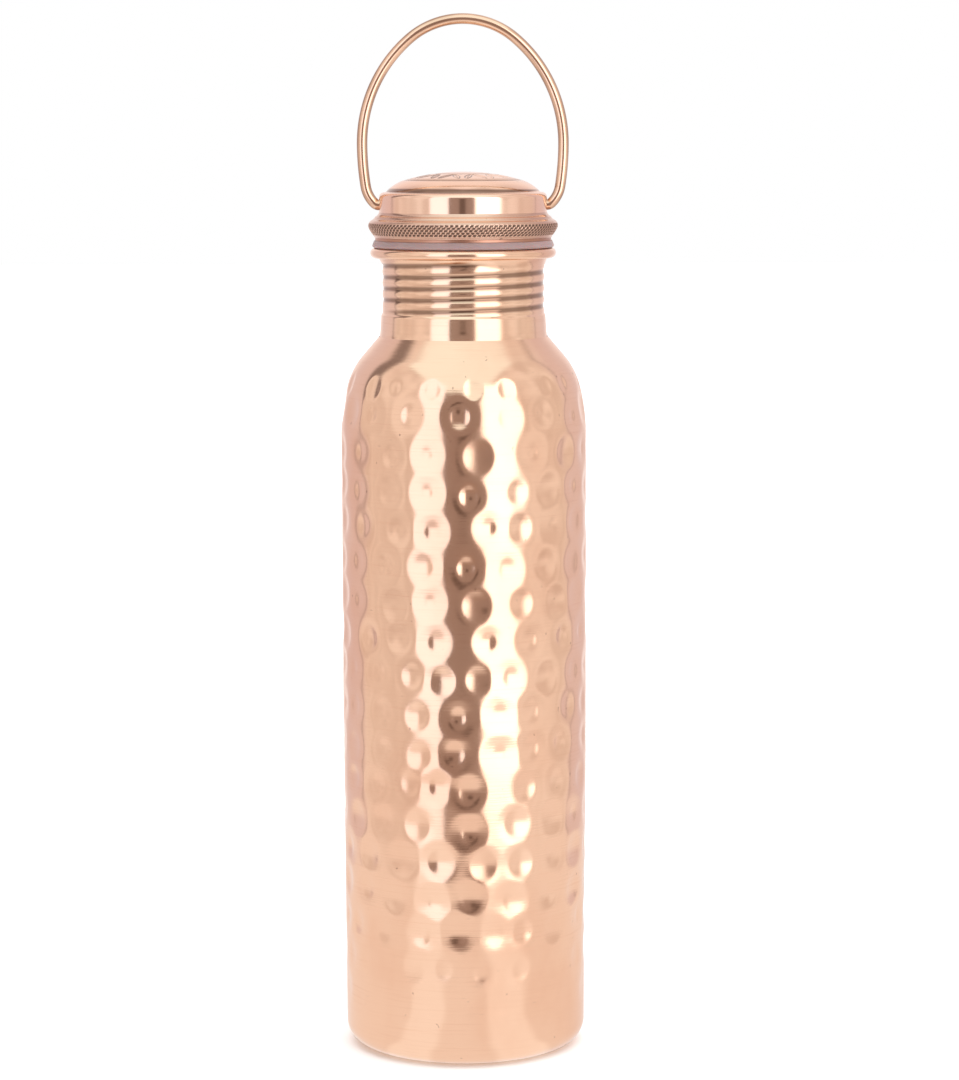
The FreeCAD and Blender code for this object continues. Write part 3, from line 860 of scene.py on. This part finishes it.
def tent_front(tree, colour, azimuth, height):
    """Bright strips each side of a dark gap, with a darker spot and a darker left edge in the gap."""
    below_top = smooth(tree, height, *STRIP_TOP, 1.0, 0.0)
    for sides, soft, light in ((LEFT_STRIP, 3, LEFT_LIGHT), (RIGHT_STRIP, 8, RIGHT_LIGHT)):
        strip = maths(tree, "MULTIPLY", band(tree, azimuth, *sides, soft), below_top)
        colour = mix(tree, strip, colour, light)
    gap = maths(tree, "MULTIPLY", band(tree, azimuth, *GAP, 1.5), smooth(tree, height, *GAP_TOP, 1.0, 0.0))
    colour = mix(tree, gap, colour, GAP_BROWN)
    lens = maths(tree, "MULTIPLY", band(tree, azimuth, -5, 3.5, 2.0), band(tree, height, -4.5, 4, 1.5))
    colour = mix(tree, lens, colour, LENS_DARK)
    edge = band(tree, azimuth, GAP[0] - 0.5, GAP[0] + 2, 1.0)
    edge = maths(tree, "MULTIPLY", edge, smooth(tree, height, *GAP_TOP, 0.8, 0.0))
    return mix(tree, edge, colour, LENS_DARK)


def tent_seams(tree, colour, azimuth, height):
    """Dark seams in the rear walls, and a brown fold where the walls meet the ground in front."""
    for middle, half_low, half_high, strength_low, strength_high in SEAMS:
        half_width = smooth(tree, height, 0, 35, half_low, half_high)
        offset = maths(tree, "DIVIDE", maths(tree, "SUBTRACT", azimuth, middle), half_width)
        line = band(tree, offset, -1, 1, 0.8)
        line = maths(tree, "MULTIPLY", line, smooth(tree, height, 0, 12, strength_low, strength_high))
        line = maths(tree, "MULTIPLY", line, smooth(tree, height, 50, 62, 1.0, 0.0))
        colour = mix(tree, line, colour, SEAM_GREY)
    fold = maths(tree, "MULTIPLY_ADD", band(tree, azimuth, -52, 58, 12), 0.5, 0.15)
    fold = maths(tree, "MULTIPLY", fold, smooth(tree, height, -13, -23))
    return mix(tree, fold, colour, FOLD_BROWN)


def studio():
    """Pale light tent that the metal mirrors; the camera itself sees plain white behind the bottle."""
    world = bpy.data.worlds.new("studio")
    bpy.context.scene.world = world
    world.use_nodes = True
    tree = world.node_tree
    directions = node(tree, "ShaderNodeTexCoord").outputs["Generated"]
    x, y, z = node(tree, "ShaderNodeSeparateXYZ", {0: directions}).outputs
    front = maths(tree, "MULTIPLY", y, -1.0)
    azimuth = maths(tree, "DEGREES", maths(tree, "ARCTAN2", x, front))
    height = maths(tree, "DEGREES", maths(tree, "ARCSINE", z))
    colour = tent_walls(tree, directions, azimuth, height)
    colour = tent_roof(tree, colour, x, front, z)
    colour = tent_front(tree, colour, azimuth, height)
    colour = tent_seams(tree, colour, azimuth, height)
    colour = mix(tree, smooth(tree, height, -27, -36), colour, BELOW_LIGHT)
    seen = node(tree, "ShaderNodeLightPath").outputs["Is Camera Ray"]
    colour = mix(tree, seen, colour, PAPER_WHITE)
    tree.links.new(colour, tree.nodes["Background"].inputs["Color"])


# ---------------------------------------------------------------- table, floor, lamp and camera

# Both lie just under the foot, so that no two surfaces share a plane. In metres.
TABLE_DROP = 0.0001
FLOOR_DROP = 0.0003
TABLE_RADIUS = 0.5
TABLE_FADE = (0.25, 0.4)
TABLE_LIGHT = (0.93, 0.85, 0.83, 1)
TABLE_LEFT = (1.02, 0.98, 0.98, 1)
TABLE_RIGHT = (1.04, 1.0, 1.0, 1)


def table():
    """Bright table top close round the bottle, for the metal to mirror; it fades out at its edge."""
    bpy.ops.mesh.primitive_circle_add(vertices=64, radius=TABLE_RADIUS, fill_type="NGON",
                                      location=(0, 0, -TABLE_DROP))
    disc = bpy.context.object
    disc.name = "table_top"
    material, tree, _ = new_material("table_light")
    tree.nodes.clear()
    place = node(tree, "ShaderNodeTexCoord").outputs["Object"]
    distance = node(tree, "ShaderNodeVectorMath", {0: place}, operation="LENGTH").outputs["Value"]
    x, y, _ = node(tree, "ShaderNodeSeparateXYZ", {0: place}).outputs
    azimuth = maths(tree, "DEGREES", maths(tree, "ARCTAN2", x, maths(tree, "MULTIPLY", y, -1.0)))
    colour = mix(tree, band(tree, azimuth, *LEFT_STRIP, 6), TABLE_LIGHT, TABLE_LEFT)
    colour = mix(tree, band(tree, azimuth, RIGHT_STRIP[0], 50, 8), colour, TABLE_RIGHT)
    light = node(tree, "ShaderNodeEmission", {"Color": colour, "Strength": 1.0}).outputs[0]
    clear = node(tree, "ShaderNodeBsdfTransparent").outputs[0]
    fade = smooth(tree, distance, *TABLE_FADE)
    faded = node(tree, "ShaderNodeMixShader", {0: fade, 1: light, 2: clear}).outputs[0]
    node(tree, "ShaderNodeOutputMaterial", {"Surface": faded})
    disc.data.materials.append(material)
    for ray in ("camera", "diffuse", "transmission", "volume_scatter", "shadow"):
        setattr(disc, f"visible_{ray}", False)


def floor():
    """Plain pale floor."""
    bpy.ops.mesh.primitive_plane_add(size=12, location=(0, 0, -FLOOR_DROP))
    plane = bpy.context.object
    plane.name = "floor"
    material, _, shader = new_material("pale_floor")
    shader.inputs["Base Color"].default_value = (0.95, 0.95, 0.95, 1)
    shader.inputs["Roughness"].default_value = 0.9
    shader.inputs["Specular IOR Level"].default_value = 0.1
    plane.data.materials.append(material)
    plane.visible_glossy = False


def lamp():
    """Wide soft sun that the metal doesn't mirror."""
    light = bpy.data.lights.new("soft_sun", "SUN")
    light.angle = math.radians(110)
    light.energy = 2.4
    holder = bpy.data.objects.new("soft_sun", light)
    holder.rotation_euler = (math.radians(-18), math.radians(12), 0)
    holder.visible_glossy = False
    bpy.context.collection.objects.link(holder)


# In metres.
CAMERA_PLACE = (0.0, -1.010, 0.279)


def camera():
    """Long lens a metre in front, a little above the lid and pitched down."""
    data = bpy.data.cameras.new("camera")
    data.sensor_width = 36.0
    data.lens = 111.3
    data.clip_start = 0.05
    holder = bpy.data.objects.new("camera", data)
    pitch, yaw, roll = math.radians(7.0), math.radians(-0.266), math.radians(-0.16)
    level = Matrix.Rotation(yaw, 4, "Z") @ Matrix.Rotation(math.pi / 2 - pitch, 4, "X")
    aim = level @ Matrix.Rotation(roll, 4, "Z")
    holder.matrix_world = Matrix.Translation(Vector(CAMERA_PLACE)) @ aim
    bpy.context.collection.objects.link(holder)
    bpy.context.scene.camera = holder


def main():
    """Build everything round the frame."""
    camera()
    studio()
    floor()
    table()
    lamp()
    bpy.context.scene.view_settings.view_transform = "Standard"
    metal = {name: copper(name, *look) for name, look in COPPERS.items()}
    hammered_body(metal["hammered_copper"])
    base_plate(metal["polished_copper"])
    threaded_neck(metal["tarnished_and_shaded_copper"])
    lid_gasket(silicone())
    knurled_ring(metal["knurled_copper"])
    lid_shell(metal["engraved_copper"])
    bail_handle(metal["copper_wire"])
    # The plug's flange under the ring gets the dark copy of the copper: painted shade.
    plug = frame["nodes"]["threaded_plug"]
    plug.data.materials.clear()
    plug.data.materials.append(metal["painted_shade_copper"])


main()
